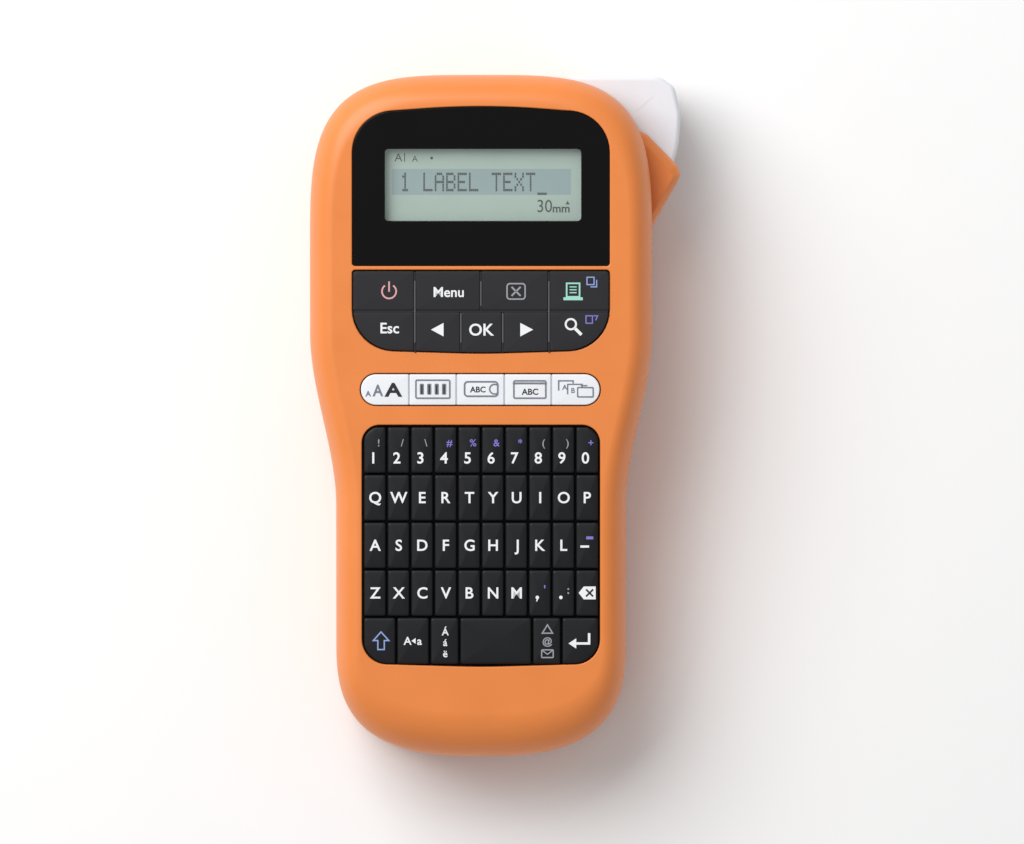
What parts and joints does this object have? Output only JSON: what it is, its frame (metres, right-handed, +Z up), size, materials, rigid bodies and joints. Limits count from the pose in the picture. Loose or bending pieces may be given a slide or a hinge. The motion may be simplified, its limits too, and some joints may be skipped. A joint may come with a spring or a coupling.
{
  "type": "label maker",
  "caption": "Hand-held label maker with a tilted display, keyboard, tape cassette bay, gear-driven platen, side cutter lever and cell tray.",
  "frame": {"origin": "on the casing's centre line, halfway along it, in the plane of the flat back that it lies on", "axes": "+X to the right of the keys, +Y towards the display end, +Z up out of the flat back, towards the face"},
  "size_m": [0.1153, 0.212, 0.0594],
  "materials": {
    "orange_shell": "satin moulded",
    "black_window": "polished, printed behind",
    "clear_window": "clear",
    "display": "satin",
    "key_rubber": "satin coated",
    "strip_rubber": "satin coated",
    "mat_rubber": "matte",
    "board": "solder mask",
    "lever_plastic": "satin moulded",
    "steel": "plain",
    "cassette_plastic": "satin moulded",
    "label_paper": "laminated",
    "spool_plastic": "satin moulded",
    "gear_plastic": "acetal",
    "brass": "plain",
    "aluminium": "pressed",
    "holder_plastic": "glass filled",
    "release_plastic": "satin moulded",
    "roller_rubber": "ground",
    "cell_jacket": "printed sleeve"
  },
  "bodies": {
    "casing": {"front_casing": "orange_shell", "rear_casing": "orange_shell", "display_window": "black_window", "lcd_module": "display", "keypad_mat": "mat_rubber", "main_board": "board", "board_screws": "steel", "cutter_pin": "steel", "cutter_spring": "steel", "cassette_case": "cassette_plastic", "label_tape": "label_paper", "chassis_plate": "aluminium", "print_head": "aluminium", "drive_motor": "steel", "battery_tray": "holder_plastic", "battery_cells": "cell_jacket", "battery_springs": "steel", "battery_contacts": "steel", "dc_jack": "holder_plastic", "casing_screws": "steel"},
    "back_cover": {"back_cover": "orange_shell", "cover_window": "clear_window"},
    "cover_latch": {"cover_latch": "orange_shell"},
    "cutter_lever": {"cutter_lever": "lever_plastic", "cutter_blade": "steel"},
    "platen_holder": {"platen_holder": "holder_plastic"},
    "platen": {"platen_shaft": "steel", "platen_roller": "roller_rubber"},
    "release_lever": {"release_lever": "release_plastic"},
    "motor_rotor": {"motor_pinion": "brass"},
    "reduction_gear": {"reduction_gear": "gear_plastic"},
    "idler_gear": {"idler_gear": "gear_plastic"},
    "takeup": {"takeup_spindle": "gear_plastic", "takeup_spool": "spool_plastic"},
    "label_roll": {"label_roll": "label_paper"},
    "ribbon_spool": {"ribbon_spool": "spool_plastic"},
    "power_key": {"power_key": "key_rubber"},
    "menu_key": {"menu_key": "key_rubber"},
    "cancel_key": {"cancel_key": "key_rubber"},
    "print_key": {"print_key": "key_rubber"},
    "escape_key": {"escape_key": "key_rubber"},
    "left_key": {"left_key": "key_rubber"},
    "ok_key": {"ok_key": "key_rubber"},
    "right_key": {"right_key": "key_rubber"},
    "preview_key": {"preview_key": "key_rubber"},
    "number_keys": {"number_keys": "key_rubber"},
    "top_letter_keys": {"top_letter_keys": "key_rubber"},
    "home_letter_keys": {"home_letter_keys": "key_rubber"},
    "bottom_letter_keys": {"bottom_letter_keys": "key_rubber"},
    "shift_key": {"shift_key": "key_rubber"},
    "caps_key": {"caps_key": "key_rubber"},
    "accent_key": {"accent_key": "key_rubber"},
    "space_key": {"space_key": "key_rubber"},
    "symbol_key": {"symbol_key": "key_rubber"},
    "enter_key": {"enter_key": "key_rubber"},
    "text_size_key": {"text_size_key": "strip_rubber"},
    "table_key": {"table_key": "strip_rubber"},
    "label_length_key": {"label_length_key": "strip_rubber"},
    "frame_key": {"frame_key": "strip_rubber"},
    "memory_key": {"memory_key": "strip_rubber"}
  },
  "joints": [
    {"name": "cover_off", "type": "slide", "parent": "casing", "child": "back_cover", "axis": [0, 0, -1], "range_m": [0, 0.04]},
    {"name": "cover_latch_flex", "type": "hinge", "parent": "back_cover", "child": "cover_latch", "pos_m": [0, 0.08, 0.001], "axis": [1, 0, 0], "range_deg": [0, 12], "stiffness_Nm_per_rad": 0.05, "springref_deg": -1.15},
    {"name": "cutter_swing", "type": "hinge", "parent": "casing", "child": "cutter_lever", "pos_m": [0.031, 0.1005, 0.02], "axis": [0, 0, 1], "range_deg": [-9, 0], "stiffness_Nm_per_rad": 0.6, "springref_deg": 5.73},
    {"name": "release_swing", "type": "hinge", "parent": "casing", "child": "release_lever", "pos_m": [0.039, 0.077, 0.014], "axis": [0, 0, 1], "range_deg": [0, 40]},
    {"name": "holder_swing", "type": "hinge", "parent": "casing", "child": "platen_holder", "pos_m": [0.034, 0.054, 0.014], "axis": [0, 0, 1], "range_deg": [-8, 0]},
    {"name": "motor_spin", "type": "hinge", "parent": "casing", "child": "motor_rotor", "pos_m": [0.00052, 0.04052, 0.028], "axis": [0, 0, 1], "continuous": true},
    {"name": "reduction_spin", "type": "hinge", "parent": "casing", "child": "reduction_gear", "pos_m": [0.01612, 0.04052, 0.028], "axis": [0, 0, 1], "continuous": true},
    {"name": "idler_spin", "type": "hinge", "parent": "casing", "child": "idler_gear", "pos_m": [0.01612, 0.05612, 0.031], "axis": [0, 0, 1], "continuous": true},
    {"name": "platen_spin", "type": "hinge", "parent": "platen_holder", "child": "platen", "pos_m": [0.028, 0.068, 0.014], "axis": [0, 0, 1], "continuous": true},
    {"name": "takeup_spin", "type": "hinge", "parent": "casing", "child": "takeup", "pos_m": [-0.00188, 0.05612, 0.014], "axis": [0, 0, 1], "continuous": true},
    {"name": "label_roll_spin", "type": "hinge", "parent": "casing", "child": "label_roll", "pos_m": [-0.004, 0.0265, 0.013], "axis": [0, 0, 1], "continuous": true},
    {"name": "ribbon_spin", "type": "hinge", "parent": "casing", "child": "ribbon_spool", "pos_m": [0.009, 0.076, 0.013], "axis": [0, 0, 1], "continuous": true},
    {"name": "power_key_press", "type": "slide", "parent": "casing", "child": "power_key", "axis": [0, 0.0698, -0.9976], "range_m": [0, 0.0009], "stiffness_N_per_m": 900, "springref_m": -0.0003},
    {"name": "menu_key_press", "type": "slide", "parent": "casing", "child": "menu_key", "axis": [0, 0.0698, -0.9976], "range_m": [0, 0.0009], "stiffness_N_per_m": 900, "springref_m": -0.0003},
    {"name": "cancel_key_press", "type": "slide", "parent": "casing", "child": "cancel_key", "axis": [0, 0.0698, -0.9976], "range_m": [0, 0.0009], "stiffness_N_per_m": 900, "springref_m": -0.0003},
    {"name": "print_key_press", "type": "slide", "parent": "casing", "child": "print_key", "axis": [0, 0.0698, -0.9976], "range_m": [0, 0.0009], "stiffness_N_per_m": 900, "springref_m": -0.0003},
    {"name": "escape_key_press", "type": "slide", "parent": "casing", "child": "escape_key", "axis": [0, 0.0698, -0.9976], "range_m": [0, 0.0009], "stiffness_N_per_m": 900, "springref_m": -0.0003},
    {"name": "left_key_press", "type": "slide", "parent": "casing", "child": "left_key", "axis": [0, 0.0698, -0.9976], "range_m": [0, 0.0009], "stiffness_N_per_m": 900, "springref_m": -0.0003},
    {"name": "ok_key_press", "type": "slide", "parent": "casing", "child": "ok_key", "axis": [0, 0.0698, -0.9976], "range_m": [0, 0.0009], "stiffness_N_per_m": 900, "springref_m": -0.0003},
    {"name": "right_key_press", "type": "slide", "parent": "casing", "child": "right_key", "axis": [0, 0.0698, -0.9976], "range_m": [0, 0.0009], "stiffness_N_per_m": 900, "springref_m": -0.0003},
    {"name": "preview_key_press", "type": "slide", "parent": "casing", "child": "preview_key", "axis": [0, 0.0698, -0.9976], "range_m": [0, 0.0009], "stiffness_N_per_m": 900, "springref_m": -0.0003},
    {"name": "number_keys_press", "type": "slide", "parent": "casing", "child": "number_keys", "axis": [0, 0.0698, -0.9976], "range_m": [0, 0.0009], "stiffness_N_per_m": 4000, "springref_m": -0.0003},
    {"name": "top_letter_keys_press", "type": "slide", "parent": "casing", "child": "top_letter_keys", "axis": [0, 0.0698, -0.9976], "range_m": [0, 0.0009], "stiffness_N_per_m": 4000, "springref_m": -0.0003},
    {"name": "home_letter_keys_press", "type": "slide", "parent": "casing", "child": "home_letter_keys", "axis": [0, 0.0698, -0.9976], "range_m": [0, 0.0009], "stiffness_N_per_m": 4000, "springref_m": -0.0003},
    {"name": "bottom_letter_keys_press", "type": "slide", "parent": "casing", "child": "bottom_letter_keys", "axis": [0, 0.0698, -0.9976], "range_m": [0, 0.0009], "stiffness_N_per_m": 4000, "springref_m": -0.0003},
    {"name": "shift_key_press", "type": "slide", "parent": "casing", "child": "shift_key", "axis": [0, 0.0698, -0.9976], "range_m": [0, 0.0009], "stiffness_N_per_m": 900, "springref_m": -0.0003},
    {"name": "caps_key_press", "type": "slide", "parent": "casing", "child": "caps_key", "axis": [0, 0.0698, -0.9976], "range_m": [0, 0.0009], "stiffness_N_per_m": 900, "springref_m": -0.0003},
    {"name": "accent_key_press", "type": "slide", "parent": "casing", "child": "accent_key", "axis": [0, 0.0698, -0.9976], "range_m": [0, 0.0009], "stiffness_N_per_m": 900, "springref_m": -0.0003},
    {"name": "space_key_press", "type": "slide", "parent": "casing", "child": "space_key", "axis": [0, 0.0698, -0.9976], "range_m": [0, 0.0009], "stiffness_N_per_m": 900, "springref_m": -0.0003},
    {"name": "symbol_key_press", "type": "slide", "parent": "casing", "child": "symbol_key", "axis": [0, 0.0698, -0.9976], "range_m": [0, 0.0009], "stiffness_N_per_m": 900, "springref_m": -0.0003},
    {"name": "enter_key_press", "type": "slide", "parent": "casing", "child": "enter_key", "axis": [0, 0.0698, -0.9976], "range_m": [0, 0.0009], "stiffness_N_per_m": 900, "springref_m": -0.0003},
    {"name": "text_size_key_press", "type": "slide", "parent": "casing", "child": "text_size_key", "axis": [0, 0.0698, -0.9976], "range_m": [0, 0.0009], "stiffness_N_per_m": 900, "springref_m": -0.0003},
    {"name": "table_key_press", "type": "slide", "parent": "casing", "child": "table_key", "axis": [0, 0.0698, -0.9976], "range_m": [0, 0.0009], "stiffness_N_per_m": 900, "springref_m": -0.0003},
    {"name": "label_length_key_press", "type": "slide", "parent": "casing", "child": "label_length_key", "axis": [0, 0.0698, -0.9976], "range_m": [0, 0.0009], "stiffness_N_per_m": 900, "springref_m": -0.0003},
    {"name": "frame_key_press", "type": "slide", "parent": "casing", "child": "frame_key", "axis": [0, 0.0698, -0.9976], "range_m": [0, 0.0009], "stiffness_N_per_m": 900, "springref_m": -0.0003},
    {"name": "memory_key_press", "type": "slide", "parent": "casing", "child": "memory_key", "axis": [0, 0.0698, -0.9976], "range_m": [0, 0.0009], "stiffness_N_per_m": 900, "springref_m": -0.0003}
  ],
  "couplings": [
    {"joint": "holder_swing", "follows": "release_swing", "ratio": -0.2},
    {"joint": "reduction_spin", "follows": "motor_spin", "ratio": -0.3},
    {"joint": "idler_spin", "follows": "motor_spin", "ratio": 0.13333},
    {"joint": "platen_spin", "follows": "motor_spin", "ratio": -0.24},
    {"joint": "takeup_spin", "follows": "motor_spin", "ratio": -0.2},
    {"joint": "label_roll_spin", "follows": "motor_spin", "ratio": 0.063},
    {"joint": "ribbon_spin", "follows": "motor_spin", "ratio": 0.168}
  ]
}
